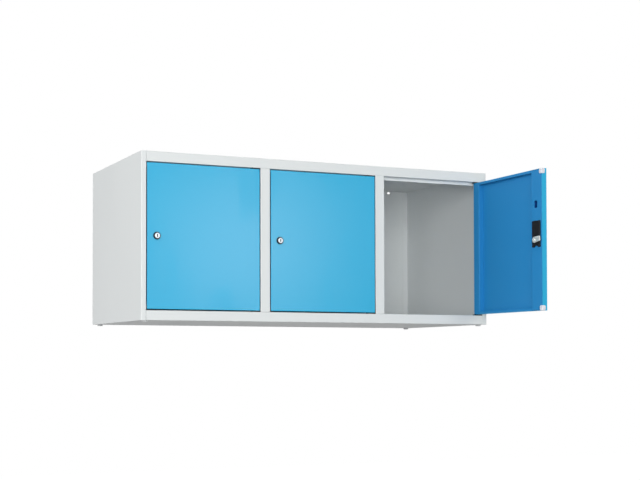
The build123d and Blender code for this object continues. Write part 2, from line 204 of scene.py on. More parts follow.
# %% A helper that starts a node group
def start_group(name, ins, outs):
    """A new shader group with its sockets; returns the tree, its input sockets and its output node."""
    tree = bpy.data.node_groups.new(name, "ShaderNodeTree")
    for label, kind, value in ins:
        socket = tree.interface.new_socket(name=label, in_out="INPUT", socket_type=kind)
        if value is not None:
            socket.default_value = value
    for label, kind in outs:
        tree.interface.new_socket(name=label, in_out="OUTPUT", socket_type=kind)
    source = tree.nodes.new("NodeGroupInput")
    return tree, source.outputs, tree.nodes.new("NodeGroupOutput")


VALUE, VECTOR = "NodeSocketFloat", "NodeSocketVector"
print("socket kinds:", VALUE, VECTOR)


# %% Orange peel and specks of powder coat
GRAIN_SHARE = 0.25
BROAD_TONE = 2.2
SPECK_CELLS = 160.0
SPECK_CORE, SPECK_EDGE = 0.05, 0.12


def build_powder_skin():
    """Height and tone of a powder coat: broad waves of peel, fine grain and rare specks."""
    tree, given, out = start_group(
        "powder_skin",
        [("Vector", VECTOR, None), ("Peel Scale", VALUE, 420.0), ("Grain Scale", VALUE, 2600.0)],
        [("Height", VALUE), ("Tone", VALUE), ("Specks", VALUE)])
    peel = add(tree, "ShaderNodeTexNoise", Vector=given["Vector"], Scale=given["Peel Scale"], Detail=1.5)
    grain = add(tree, "ShaderNodeTexNoise", Vector=given["Vector"], Scale=given["Grain Scale"], Detail=1.0)
    height = add(tree, "ShaderNodeMath", ("operation", "MULTIPLY_ADD"),
                 i0=grain.outputs["Fac"], i1=GRAIN_SHARE, i2=peel.outputs["Fac"])
    broad = add(tree, "ShaderNodeTexNoise", Vector=given["Vector"], Scale=BROAD_TONE, Detail=2.0)
    cells = add(tree, "ShaderNodeTexVoronoi", Vector=given["Vector"], Scale=SPECK_CELLS)
    specks = add(tree, "ShaderNodeMapRange", Value=cells.outputs["Distance"],
                 From_Min=SPECK_CORE, From_Max=SPECK_EDGE, To_Min=1.0, To_Max=0.0)
    tree.links.new(height.outputs[0], out.inputs["Height"])
    tree.links.new(broad.outputs["Fac"], out.inputs["Tone"])
    tree.links.new(specks.outputs[0], out.inputs["Specks"])
    return tree


powder_skin = build_powder_skin()
print("effect:", powder_skin.name)


# %% Sharp edges, where a coat or plating wears first
WORN_TURN = 0.72
WEAR_PATCHES = 90.0
WEAR_EVERYWHERE = 0.5


def build_edge_wear():
    """Mask of sharp edges: how far a rounded normal turns from the true one, broken up by noise."""
    tree, given, out = start_group(
        "edge_wear",
        [("Vector", VECTOR, None), ("Reach", VALUE, 0.0006), ("Broken", VALUE, 0.5)],
        [("Mask", VALUE)])
    rounded = add(tree, "ShaderNodeBevel", ("samples", 6), Radius=given["Reach"])
    true = add(tree, "ShaderNodeNewGeometry")
    same = add(tree, "ShaderNodeVectorMath", ("operation", "DOT_PRODUCT"),
               i0=rounded.outputs[0], i1=true.outputs["Normal"])
    turned = add(tree, "ShaderNodeMapRange", Value=same.outputs["Value"],
                 From_Min=1.0, From_Max=WORN_TURN, To_Min=0.0, To_Max=1.0)
    patches = add(tree, "ShaderNodeTexNoise", Vector=given["Vector"], Scale=WEAR_PATCHES, Detail=4.0)
    kept = add(tree, "ShaderNodeMath", ("operation", "MULTIPLY_ADD"),
               i0=patches.outputs["Fac"], i1=given["Broken"], i2=WEAR_EVERYWHERE)
    mask = add(tree, "ShaderNodeMath", ("operation", "MULTIPLY"), ("use_clamp", True),
               i0=turned.outputs[0], i1=kept.outputs[0])
    tree.links.new(mask.outputs[0], out.inputs["Mask"])
    return tree


edge_wear = build_edge_wear()
print("effect:", edge_wear.name)


# %% Faint handling marks
WIPED_DOWNWARDS = (1.0, 1.0, 0.35)
SMEAR_STARTS, SMEAR_FULL = 0.52, 0.75


def build_handling():
    """Mask of wiped and touched patches: stretched noise, cut off so that most of the coat is clean."""
    tree, given, out = start_group(
        "handling_marks", [("Vector", VECTOR, None), ("Scale", VALUE, 14.0)], [("Mask", VALUE)])
    stretch = add(tree, "ShaderNodeMapping", Vector=given["Vector"], Scale=WIPED_DOWNWARDS)
    smears = add(tree, "ShaderNodeTexNoise", Vector=stretch.outputs[0], Scale=given["Scale"],
                 Detail=5.0, Distortion=0.6)
    mask = add(tree, "ShaderNodeMapRange", Value=smears.outputs["Fac"],
               From_Min=SMEAR_STARTS, From_Max=SMEAR_FULL, To_Min=0.0, To_Max=1.0)
    tree.links.new(mask.outputs[0], out.inputs["Mask"])
    return tree


handling_marks = build_handling()
print("effect:", handling_marks.name)


# %% Painted shade in narrow gaps, where little light gets in
def build_crevice_shade():
    """Mask for painted shade deep in a narrow gap: how much of the near surroundings is closed."""
    tree, given, out = start_group("crevice_shade", [("Reach", VALUE, 0.006)], [("Mask", VALUE)])
    near = add(tree, "ShaderNodeAmbientOcclusion", ("samples", 8), Distance=given["Reach"])
    closed = add(tree, "ShaderNodeMath", ("operation", "SUBTRACT"), ("use_clamp", True),
                 i0=1.0, i1=near.outputs["AO"])
    tree.links.new(closed.outputs[0], out.inputs["Mask"])
    return tree


crevice_shade = build_crevice_shade()
print("effect:", crevice_shade.name)


# %% The depth of the front frame
FOLD_STARTS, FOLD_FULL = 0.0004, 0.0012
FRAME_ENDS, FRAME_PASSED = 0.03, 0.05


def build_frame_depth():
    """Mask of the folds behind a front plane: 0 on the plane, 1 behind it, 0 again deep in the box."""
    tree, given, out = start_group(
        "frame_depth", [("Vector", VECTOR, None), ("Front", VALUE, 0.0)], [("Mask", VALUE)])
    parts = add(tree, "ShaderNodeSeparateXYZ", Vector=given["Vector"])
    depth = add(tree, "ShaderNodeMath", ("operation", "SUBTRACT"),
                i0=parts.outputs[1], i1=given["Front"])
    behind = add(tree, "ShaderNodeMapRange", Value=depth.outputs[0],
                 From_Min=FOLD_STARTS, From_Max=FOLD_FULL)
    shallow = add(tree, "ShaderNodeMapRange", Value=depth.outputs[0],
                  From_Min=FRAME_ENDS, From_Max=FRAME_PASSED, To_Min=1.0, To_Max=0.0)
    mask = add(tree, "ShaderNodeMath", ("operation", "MULTIPLY"),
               i0=behind.outputs[0], i1=shallow.outputs[0])
    tree.links.new(mask.outputs[0], out.inputs["Mask"])
    return tree


frame_depth = build_frame_depth()
print("shared effects:", [g.name for g in bpy.data.node_groups])


# %% Helpers that place a group and start a material
def effect(tree, group, **inputs):
    """A shared effect placed in a material with its own values."""
    placed = tree.nodes.new("ShaderNodeGroup")
    placed.node_tree = group
    for name, value in inputs.items():
        feed(tree, placed.inputs[name.replace("_", " ")], value)
    return placed.outputs


def start_material(name):
    """An empty node material, its tree and its Object coordinates."""
    material = bpy.data.materials.new(name)
    material.use_nodes = True
    tree = material.node_tree
    tree.nodes.clear()
    where = add(tree, "ShaderNodeTexCoord")
    return material, tree, where.outputs["Object"]


def mix_colour(tree, share, first, second):
    """One colour over another by a share from 0 to 1. A Mix node keeps its colours in inputs 6 and 7."""
    return add(tree, "ShaderNodeMix", ("data_type", "RGBA"), i0=share, i6=first, i7=second).outputs[2]


def blend_value(tree, share, low, high):
    """A number between two values by a share from 0 to 1."""
    return add(tree, "ShaderNodeMapRange", Value=share, To_Min=low, To_Max=high).outputs[0]


def blend_between(tree, value, full_until, gone_from):
    """A share that is 1 up to one value and falls to 0 at another."""
    return add(tree, "ShaderNodeMapRange", Value=value, From_Min=full_until, From_Max=gone_from,
               To_Min=1.0, To_Max=0.0).outputs[0]


def worn_edges(tree, where, reach, strength):
    """How much of a paler colour the sharp edges take, from 0 to the strength."""
    return blend_value(tree, effect(tree, edge_wear, Vector=where, Reach=reach)["Mask"], 0.0, strength)


def relief(tree, height, strength, distance):
    """A bump from a height."""
    return add(tree, "ShaderNodeBump", Height=height, Strength=strength, Distance=distance).outputs[0]


def finish_material(tree, **inputs):
    """The surface shader with its inputs, joined to the material's output."""
    shader = add(tree, "ShaderNodeBsdfPrincipled", **inputs)
    add(tree, "ShaderNodeOutputMaterial", Surface=shader.outputs[0])


print("material helpers:", start_material.__name__, finish_material.__name__)

# %% [markdown]
# ## Powder coat on the body
# The body is one light grey coat, whose tone drifts a little over the broad faces. Its specks and peel are
# only a millimetre or two across, so from a few steps away they just soften the shine, which is what tells
# paint from plastic. Edges get a slightly paler line, because the coat draws thin there. The gaps in the
# front frame get a painted shade, darker the more closed they are, except under the top, where light from
# below reaches in.

# %% Light grey coat
COAT_EDGE = 0.0005
COAT_SPECULAR = 0.4
PEEL_STRENGTH, PEEL_HEIGHT = 0.18, 0.00012
BODY_WIPES = 6.0
BODY_SMOOTH, BODY_WIPED = 0.46, 0.54
GREY_SPECKS, GREY_WEAR = 0.25, 0.6
GREY_COAT = (0.758, 0.778, 0.780, 1.0)
GREY_SHADE = (0.723, 0.743, 0.745, 1.0)
GREY_EDGE = (0.83, 0.845, 0.855, 1.0)
# Painted shade for the narrow gaps of the front frame, and how far it darkens them.
GREY_GAP_SHADE = (0.10, 0.11, 0.12, 1.0)
GREY_GAP_SHADE_DEPTH = 0.9
GAP_REACH = 0.006
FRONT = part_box("side_panel_left")[0][1]


def grey_coat(name, gap_shade_depth):
    """The grey coat; gap_shade_depth says how dark the painted shade in its narrow gaps gets."""
    material, tree, where = start_material(name)
    skin = effect(tree, powder_skin, Vector=where)
    touched = effect(tree, handling_marks, Vector=where, Scale=BODY_WIPES)
    colour = mix_colour(tree, skin["Tone"], GREY_SHADE, GREY_COAT)
    specked = mix_colour(tree, blend_value(tree, skin["Specks"], 0.0, GREY_SPECKS), colour, GREY_EDGE)
    edged = mix_colour(tree, worn_edges(tree, where, COAT_EDGE, GREY_WEAR), specked, GREY_EDGE)
    # Painted shade: narrow, closed places of the front frame's folds are darkened towards the gap colour.
    narrow = effect(tree, crevice_shade, Reach=GAP_REACH)
    framed = effect(tree, frame_depth, Vector=where, Front=FRONT)
    gap_shade = add(tree, "ShaderNodeMath", ("operation", "MULTIPLY"), i0=narrow["Mask"], i1=framed["Mask"])
    shaded = mix_colour(tree, blend_value(tree, gap_shade.outputs[0], 0.0, gap_shade_depth), edged, GREY_GAP_SHADE)
    rough = blend_value(tree, touched["Mask"], BODY_SMOOTH, BODY_WIPED)
    finish_material(tree, Base_Color=shaded, Roughness=rough, Specular_IOR_Level=COAT_SPECULAR,
                    Normal=relief(tree, skin["Height"], PEEL_STRENGTH, PEEL_HEIGHT))
    return material


carcass_finish = grey_coat("light_grey_coat", GREY_GAP_SHADE_DEPTH)
# The top panel's coat gets no painted gap shade, because light from below reaches under its rail.
top_finish = grey_coat("light_grey_coat_top", 0.0)
print("front plane at", round(FRONT, 4), "m")

# %% [markdown]
# ## Powder coat on the doors
# The doors are one blue coat on one folded sheet, light blue outside. Their inner side is painted a deeper
# copy of that blue, as painted shade for the lesser light it takes, which shows on the open door. The
# change
# follows the sheet: everything more than half a millimetre inside the door's outer faces is the inner side,
# told by the door's own box. The gaps round a door get a painted shade too; light from below reaches into
# the gap over a door and not into the gap under it, so this painted shade is weaker at its top and stronger
# at its bottom. Inside the hollow channel the blue is painted darkest, as painted shade.

# %% Inner side of a folded door
INNER_STARTS = 0.0005
INNER_FULL = 0.0008


def build_inner_side():
    """Mask of what lies inside a box: the least distance to its faces, past half a millimetre."""
    tree, given, out = start_group(
        "inner_side", [("Vector", VECTOR, None), ("Low", VECTOR, None), ("High", VECTOR, None)],
        [("Mask", VALUE)])
    above = add(tree, "ShaderNodeVectorMath", ("operation", "SUBTRACT"),
                i0=given["Vector"], i1=given["Low"])
    below = add(tree, "ShaderNodeVectorMath", ("operation", "SUBTRACT"),
                i0=given["High"], i1=given["Vector"])
    near = add(tree, "ShaderNodeVectorMath", ("operation", "MINIMUM"),
               i0=above.outputs[0], i1=below.outputs[0])
    parts = add(tree, "ShaderNodeSeparateXYZ", Vector=near.outputs[0])
    least = parts.outputs[0]
    for other in parts.outputs[1:]:
        least = add(tree, "ShaderNodeMath", ("operation", "MINIMUM"), i0=least, i1=other).outputs[0]
    mask = add(tree, "ShaderNodeMapRange", Value=least, From_Min=INNER_STARTS, From_Max=INNER_FULL)
    tree.links.new(mask.outputs[0], out.inputs["Mask"])
    return tree


inner_side = build_inner_side()
print("effect:", inner_side.name)

# %% Blues of the doors
BLUE_OUTSIDE = (0.010, 0.413, 0.690, 1.0)
BLUE_OUTSIDE_SHADE = (0.006, 0.392, 0.665, 1.0)
BLUE_OUTSIDE_EDGE = (0.12, 0.58, 0.84, 1.0)
# The inner side's blues: a deeper copy of the outer blue, as painted shade.
BLUE_INSIDE_PAINTED_SHADE = (0.013, 0.243, 0.560, 1.0)
BLUE_INSIDE_PAINTED_SHADE_DEEP = (0.010, 0.218, 0.528, 1.0)
BLUE_INSIDE_PAINTED_SHADE_EDGE = (0.016, 0.262, 0.59, 1.0)
# Painted shade for the gaps round a door.
BLUE_GAP_SHADE = (0.002, 0.045, 0.11, 1.0)
# Painted shade inside the hollow channel, the darkest blue.
BLUE_CAVITY_SHADE = (0.005, 0.12, 0.48, 1.0)
DOOR_WIPES = 8.0
DOOR_SMOOTH, DOOR_WIPED, DOOR_INSIDE_ROUGH = 0.29, 0.36, 0.6
BLUE_SPECKS, BLUE_WEAR = 0.18, 0.35
DOORS = (1, 2, 3)
OPEN_DOOR = 3
print("doors:", DOORS, "open:", OPEN_DOOR)

# %% Painted shade in the gap round a door
GAP_SHADE_ABOVE = 0.25
GAP_SHADE_BELOW = 2.2


def painted_shade_round_door(tree, where, inside, bottom, top):
    """Share of the painted gap shade: narrow places of the outer side, weaker at the top, stronger below.
    """
    outside = add(tree, "ShaderNodeMath", ("operation", "SUBTRACT"), i0=1.0, i1=inside)
    narrow = effect(tree, crevice_shade, Reach=GAP_REACH)
    gap_shade = add(tree, "ShaderNodeMath", ("operation", "MULTIPLY"), i0=narrow["Mask"], i1=outside.outputs[0])
    height = add(tree, "ShaderNodeSeparateXYZ", Vector=where).outputs[2]
    upper = add(tree, "ShaderNodeMapRange", Value=height, From_Min=top - 2 * GAP_REACH,
                From_Max=top - GAP_REACH, To_Min=1.0, To_Max=GAP_SHADE_ABOVE)
    lower = add(tree, "ShaderNodeMapRange", Value=height, From_Min=bottom + GAP_REACH,
                From_Max=bottom + 2 * GAP_REACH, To_Min=GAP_SHADE_BELOW, To_Max=1.0)
    ends = add(tree, "ShaderNodeMath", ("operation", "MULTIPLY"),
               i0=upper.outputs[0], i1=lower.outputs[0])
    return add(tree, "ShaderNodeMath", ("operation", "MULTIPLY"), ("use_clamp", True),
               i0=gap_shade.outputs[0], i1=ends.outputs[0]).outputs[0]


print("gap line above and below a door:", GAP_SHADE_ABOVE, GAP_SHADE_BELOW)

# %% Blue coat for each door
FAR = 1.0


def blue_coat(number):
    """Blue coat whose inner side is told by the door's box, left open towards its inner side; that side
    takes a deeper copy of the blue as painted shade, and the gaps and the hollow channel get painted shade
    too.
    """
    low, high = (np.array(corner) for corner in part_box(f"door_{number}_skin"))
    channel_low, channel_high = (np.array(corner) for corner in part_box(f"door_{number}_channel"))
    if number == OPEN_DOOR:
        low[0] -= FAR
        channel_high[0] += INNER_FULL
    else:
        high[1] += FAR
        channel_low[1] -= INNER_FULL
    material, tree, where = start_material(f"blue_coat_door_{number}")
    skin = effect(tree, powder_skin, Vector=where)
    touched = effect(tree, handling_marks, Vector=where, Scale=DOOR_WIPES)
    inside = effect(tree, inner_side, Vector=where, Low=low, High=high)["Mask"]
    outer = mix_colour(tree, skin["Tone"], BLUE_OUTSIDE_SHADE, BLUE_OUTSIDE)
    # Painted shade: the inner side takes the deeper copy of the blue.
    inner = mix_colour(tree, skin["Tone"], BLUE_INSIDE_PAINTED_SHADE_DEEP, BLUE_INSIDE_PAINTED_SHADE)
    colour = mix_colour(tree, inside, outer, inner)
    pale = mix_colour(tree, inside, BLUE_OUTSIDE_EDGE, BLUE_INSIDE_PAINTED_SHADE_EDGE)
    specked = mix_colour(tree, blend_value(tree, skin["Specks"], 0.0, BLUE_SPECKS), colour, pale)
    edged = mix_colour(tree, worn_edges(tree, where, COAT_EDGE, BLUE_WEAR), specked, pale)
    # Painted shade: the gaps round the door darken towards the gap colour.
    shaded = mix_colour(tree, painted_shade_round_door(tree, where, inside, low[2], high[2]), edged, BLUE_GAP_SHADE)
    # Painted shade: the inside of the hollow channel takes the darkest blue.
    cavity_shade = effect(tree, inner_side, Vector=where, Low=channel_low, High=channel_high)
    coated = mix_colour(tree, cavity_shade["Mask"], shaded, BLUE_CAVITY_SHADE)
    handled = blend_value(tree, touched["Mask"], DOOR_SMOOTH, DOOR_WIPED)
    finish_material(tree, Base_Color=coated, Specular_IOR_Level=COAT_SPECULAR,
                    Roughness=blend_value(tree, inside, handled, DOOR_INSIDE_ROUGH),
                    Normal=relief(tree, skin["Height"], PEEL_STRENGTH, PEEL_HEIGHT))
    return material


door_finishes = {number: blue_coat(number) for number in DOORS}
print("door coats:", len(door_finishes))

# %% [markdown]
# ## Plastic and plating
# The lock's case, its collar and the hinge bushes are black moulded plastic with a spark-eroded grain. The
# barrel and plug are nickel plated and turned, so fine rings run round their axis. The cam, its screw, the
# nut and the hinge pins are zinc plated, with a faint yellowish bloom.


# %% Black moulded plastic
SMALL_EDGE = 0.0004
MOULDED_WEAR = 0.4
BLACK_DEEP = (0.005, 0.006, 0.007, 1.0)
BLACK_PALE = (0.010, 0.010, 0.012, 1.0)
BLACK_EDGE = (0.04, 0.04, 0.045, 1.0)
BLACK_SPECULAR = 0.18
SPARK_GRAIN = 1500.0
MOULD_CLOUD = 60.0
MOULD_ROUGH = (0.42, 0.55)
SPARK_STRENGTH, SPARK_HEIGHT = 0.35, 0.00006


def black_plastic():
    """Black plastic: a fine grain from the mould, a little cloudy in tone and shine, greyer on edges."""
    material, tree, where = start_material("black_moulded_plastic")
    grain = add(tree, "ShaderNodeTexNoise", Vector=where, Scale=SPARK_GRAIN, Detail=2.0)
    cloud = add(tree, "ShaderNodeTexNoise", Vector=where, Scale=MOULD_CLOUD, Detail=2.0)
    colour = mix_colour(tree, cloud.outputs["Fac"], BLACK_DEEP, BLACK_PALE)
    edged = mix_colour(tree, worn_edges(tree, where, SMALL_EDGE, MOULDED_WEAR), colour, BLACK_EDGE)
    rough = blend_value(tree, cloud.outputs["Fac"], *MOULD_ROUGH)
    finish_material(tree, Base_Color=edged, Roughness=rough, Specular_IOR_Level=BLACK_SPECULAR,
                    Normal=relief(tree, grain.outputs["Fac"], SPARK_STRENGTH, SPARK_HEIGHT))
    return material


plastic_finish = black_plastic()
print("finish:", plastic_finish.name)


# %% Rings that turning leaves
UNEVEN_RINGS = 0.6
EVEN_SHARE = 0.3


def build_turned_rings():
    """Rings round an axis: a wave over the distance from the line through Centre along Axis."""
    tree, given, out = start_group(
        "turned_rings",
        [("Vector", VECTOR, None), ("Centre", VECTOR, None), ("Axis", VECTOR, None),
         ("Pitch", VALUE, 0.00025)],
        [("Height", VALUE)])
    arm = add(tree, "ShaderNodeVectorMath", ("operation", "SUBTRACT"),
              i0=given["Vector"], i1=given["Centre"])
    turned = add(tree, "ShaderNodeVectorMath", ("operation", "CROSS_PRODUCT"),
                 i0=arm.outputs[0], i1=given["Axis"])
    radius = add(tree, "ShaderNodeVectorMath", ("operation", "LENGTH"), i0=turned.outputs[0])
    count = add(tree, "ShaderNodeMath", ("operation", "DIVIDE"),
                i0=radius.outputs["Value"], i1=given["Pitch"])
    wave = add(tree, "ShaderNodeMath", ("operation", "SINE"), i0=count.outputs[0])
    rings = add(tree, "ShaderNodeTexNoise", ("noise_dimensions", "1D"),
                W=count.outputs[0], Scale=UNEVEN_RINGS, Detail=2.0)
    height = add(tree, "ShaderNodeMath", ("operation", "MULTIPLY_ADD"),
                 i0=wave.outputs[0], i1=EVEN_SHARE, i2=rings.outputs["Fac"])
    tree.links.new(height.outputs[0], out.inputs["Height"])
    return tree


turned_rings = build_turned_rings()
print("effect:", turned_rings.name)

# %% [markdown]
# ## The keyway
# A key slot looks black because no light comes back out of it. So just inside the plug's front the plating
# gives way to a black painted shade, and a narrow rim round the slot takes the same painted shade. The
# slot's own size is read from the plug's points, so the rim follows the measured slot.


# %% Painted shade of the keyway
KEYWAY_STARTS = 0.0004
KEYWAY_RIM = 0.00045
ON_FACE = 0.00001
INNER_SHARE = 0.9
MM = 0.001


def keyway_halves(number):
    """Half the keyway's size across and upwards, from the plug's points on its front face."""
    low, high = (np.array(corner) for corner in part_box(f"lock_{number}_plug"))
    across, out, front = (1, 0, high[0]) if number == OPEN_DOOR else (0, 1, low[1])
    points = np.array([point.co[:] for point in nodes[f"lock_{number}_plug"].data.vertices])
    arm = points - (low + high) / 2
    radius = np.hypot(arm[:, across], arm[:, 2])
    inner = (np.abs(points[:, out] - front) < ON_FACE) & (radius < INNER_SHARE * (high[2] - low[2]) / 2)
    return np.abs(arm[inner][:, [across, 2]]).max(axis=0)


def keyway_painted_shade(tree, where, number):
    """Painted shade mask: 1 in the keyway, a little behind the plug's front, and on a narrow rim round it,
    else 0.
    """
    low, high = (np.array(corner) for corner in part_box(f"lock_{number}_plug"))
    middle = (low + high) / 2
    across, out, front, inwards = (1, 0, high[0], -1.0) if number == OPEN_DOOR else (0, 1, low[1], 1.0)
    parts = add(tree, "ShaderNodeSeparateXYZ", Vector=where)
    behind = add(tree, "ShaderNodeMapRange", Value=parts.outputs[out],
                 From_Min=front + inwards * KEYWAY_STARTS / 2, From_Max=front + inwards * KEYWAY_STARTS)
    beside = []
    for axis, half in zip((across, 2), keyway_halves(number)):
        arm = add(tree, "ShaderNodeMath", ("operation", "SUBTRACT"),
                  i0=parts.outputs[axis], i1=float(middle[axis]))
        reach = add(tree, "ShaderNodeMath", ("operation", "ABSOLUTE"), i0=arm.outputs[0])
        beside.append(blend_between(tree, reach.outputs[0], half + KEYWAY_RIM / 2, half + KEYWAY_RIM))
    rim = add(tree, "ShaderNodeMath", ("operation", "MULTIPLY"), i0=beside[0], i1=beside[1])
    return add(tree, "ShaderNodeMath", ("operation", "MAXIMUM"),
               i0=behind.outputs[0], i1=rim.outputs[0]).outputs[0]


print("keyway of lock 1:", np.round(keyway_halves(1) * 2 / MM, 1), "mm")

# %% Turned nickel plate
NICKEL_DULL = (0.50, 0.53, 0.56, 1.0)
NICKEL_BRIGHT = (0.62, 0.655, 0.685, 1.0)
NICKEL_EDGE = (0.76, 0.78, 0.80, 1.0)
# Painted shade of the keyway and its rim.
KEYWAY_PAINTED_SHADE = (0.006, 0.006, 0.007, 1.0)
NICKEL_CLOUD = 180.0
NICKEL_ROUGH = (0.45, 0.58)
NICKEL_WEAR = 0.5
RING_STRENGTH, RING_HEIGHT = 0.15, 0.00004


def nickel(name, number, with_keyway):
    """Plated barrel or plug of one lock: rings round that lock's own axis, and a keyway in painted shade if
    any.
    """
    low, high = (np.array(corner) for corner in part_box(f"lock_{number}_housing"))
    material, tree, where = start_material(name)
    rings = effect(tree, turned_rings, Vector=where, Centre=(low + high) / 2,
                   Axis=(1.0, 0.0, 0.0) if number == OPEN_DOOR else (0.0, 1.0, 0.0))
    cloud = add(tree, "ShaderNodeTexNoise", Vector=where, Scale=NICKEL_CLOUD, Detail=3.0)
    colour = mix_colour(tree, cloud.outputs["Fac"], NICKEL_DULL, NICKEL_BRIGHT)
    plated = mix_colour(tree, worn_edges(tree, where, SMALL_EDGE, NICKEL_WEAR), colour, NICKEL_EDGE)
    metallic = 1.0
    if with_keyway:
        # Painted shade in the keyway and on its rim; there the surface is not metal.
        keyway_shade_share = keyway_painted_shade(tree, where, number)
        plated = mix_colour(tree, keyway_shade_share, plated, KEYWAY_PAINTED_SHADE)
        metallic = blend_value(tree, keyway_shade_share, 1.0, 0.0)
    rough = blend_value(tree, rings["Height"], *NICKEL_ROUGH)
    finish_material(tree, Base_Color=plated, Metallic=metallic, Roughness=rough,
                    Normal=relief(tree, rings["Height"], RING_STRENGTH, RING_HEIGHT))
    return material


barrel_finishes = {n: nickel(f"turned_nickel_barrel_{n}", n, with_keyway=False) for n in DOORS}
plug_finishes = {n: nickel(f"turned_nickel_plug_{n}", n, with_keyway=True) for n in DOORS}
print("nickel finishes:", len(barrel_finishes) + len(plug_finishes))


# %% Zinc plate
ZINC_DULL = (0.70, 0.73, 0.71, 1.0)
ZINC_BRIGHT = (0.79, 0.80, 0.76, 1.0)
ZINC_EDGE = (0.88, 0.88, 0.86, 1.0)
ZINC_CRYSTALS = 420.0
ZINC_METALLIC = 0.9
ZINC_ROUGH = (0.42, 0.56)
ZINC_WEAR = 0.6
BRUSH_LINES = 260.0
BRUSHED_LEVEL = (1.0, 1.0, 18.0)
BRUSH_STRENGTH, BRUSH_HEIGHT = 0.12, 0.00005


def zinc_plate():
    """Zinc on pressed steel: small crystals tell its tone, and fine level lines its shine and relief."""
    material, tree, where = start_material("bright_zinc_plate")
    spangle = add(tree, "ShaderNodeTexVoronoi", Vector=where, Scale=ZINC_CRYSTALS)
    brush = add(tree, "ShaderNodeMapping", Vector=where, Scale=BRUSHED_LEVEL)
    lines = add(tree, "ShaderNodeTexNoise", Vector=brush.outputs[0], Scale=BRUSH_LINES, Detail=3.0)
    colour = mix_colour(tree, spangle.outputs["Distance"], ZINC_DULL, ZINC_BRIGHT)
    edged = mix_colour(tree, worn_edges(tree, where, SMALL_EDGE, ZINC_WEAR), colour, ZINC_EDGE)
    rough = blend_value(tree, lines.outputs["Fac"], *ZINC_ROUGH)
    finish_material(tree, Base_Color=edged, Metallic=ZINC_METALLIC, Roughness=rough,
                    Normal=relief(tree, lines.outputs["Fac"], BRUSH_STRENGTH, BRUSH_HEIGHT))
    return material


zinc_finish = zinc_plate()
print("finish:", zinc_finish.name)


# %% Milky soft plastic of the corner caps, and grey glide plastic of the feet
MILKY_DEEP = (0.72, 0.72, 0.79, 1.0)
MILKY_PALE = (0.80, 0.80, 0.86, 1.0)
GLIDE_DEEP = (0.62, 0.63, 0.64, 1.0)
GLIDE_PALE = (0.72, 0.73, 0.74, 1.0)
MILKY_ROUGH, GLIDE_ROUGH = (0.30, 0.42), (0.45, 0.6)
LIGHT_REACH = 0.002
SOFT_CLOUD, SOFT_GRAIN = 120.0, 1800.0
SOFT_STRENGTH, SOFT_HEIGHT = 0.2, 0.00005


def soft_plastic(name, deep, pale, rough_pair, subsurface):
    """Unpainted plastic of two near tones; subsurface says how much light goes into it and comes out."""
    material, tree, where = start_material(name)
    cloud = add(tree, "ShaderNodeTexNoise", Vector=where, Scale=SOFT_CLOUD, Detail=3.0)
    grain = add(tree, "ShaderNodeTexNoise", Vector=where, Scale=SOFT_GRAIN, Detail=1.0)
    colour = mix_colour(tree, cloud.outputs["Fac"], deep, pale)
    edged = mix_colour(tree, worn_edges(tree, where, SMALL_EDGE, MOULDED_WEAR), colour, pale)
    rough = blend_value(tree, cloud.outputs["Fac"], *rough_pair)
    finish_material(tree, Base_Color=edged, Roughness=rough, Subsurface_Weight=subsurface,
                    Subsurface_Radius=(LIGHT_REACH, LIGHT_REACH, LIGHT_REACH), Subsurface_Scale=1.0,
                    Normal=relief(tree, grain.outputs["Fac"], SOFT_STRENGTH, SOFT_HEIGHT))
    return material


cap_finish = soft_plastic("milky_soft_plastic", MILKY_DEEP, MILKY_PALE, MILKY_ROUGH, subsurface=0.3)
foot_finish = soft_plastic("grey_glide_plastic", GLIDE_DEEP, GLIDE_PALE, GLIDE_ROUGH, subsurface=0.0)
print("materials:", len(bpy.data.materials))


# %% Give every measured piece its finish
def finish_of(name):
    """The material of a measured piece, told by its name."""
    number = int(name.split("_")[1]) if name.startswith(("door_", "lock_")) else 0
    if name.endswith(("_skin", "_channel")):
        return door_finishes[number]
    if name.endswith("_buffers"):
        return cap_finish
    if name.endswith("_housing"):
        return barrel_finishes[number]
    if name.endswith("_plug"):
        return plug_finishes[number]
    if name.endswith(("_case", "_rosette")) or name.startswith("hinge_bush"):
        return plastic_finish
    if name.startswith("foot_"):
        return foot_finish
    if number:
        return zinc_finish
    return top_finish if name == "top_panel" else carcass_finish


for name, piece in nodes.items():
    piece.data.materials.clear()
    piece.data.materials.append(finish_of(name))
print("finished:", len(nodes))

# %% [markdown]
# ## Surfaces worked out with numpy
# Moulded and turned pieces are surfaces of two parameters: a profile that is carried along a path or round
# an axis. Such a grid of points becomes a closed mesh in one step, and its faces point outwards.

# %% Helpers that turn a grid of points into a closed mesh
NEARLY_UPRIGHT = 0.9


def woven_mesh(name, grid, round_trip=False):
    """Faces between neighbouring points of grid[row, column, xyz]; columns run round the shape.

    With round_trip the rows also join up, as in a ring; without it a flat face closes each end."""
    rows, columns = grid.shape[:2]
    index = np.arange(rows * columns).reshape(rows, columns)
    after = np.roll(index, -1, axis=1)
    low, low_after = (index, after) if round_trip else (index[:-1], after[:-1])
    high = np.roll(index, -1, axis=0) if round_trip else index[1:]
    high_after = np.roll(after, -1, axis=0) if round_trip else after[1:]
    faces = np.stack([low, low_after, high_after, high], axis=-1).reshape(-1, 4).tolist()
    if not round_trip:
        faces += [index[0, ::-1].tolist(), index[-1].tolist()]
    mesh = bpy.data.meshes.new(name)
    mesh.from_pydata(grid.reshape(-1, 3).tolist(), [], faces)
    shape = bmesh.new()
    shape.from_mesh(mesh)
    bmesh.ops.recalc_face_normals(shape, faces=shape.faces)
    shape.to_mesh(mesh)
    shape.free()
    return mesh


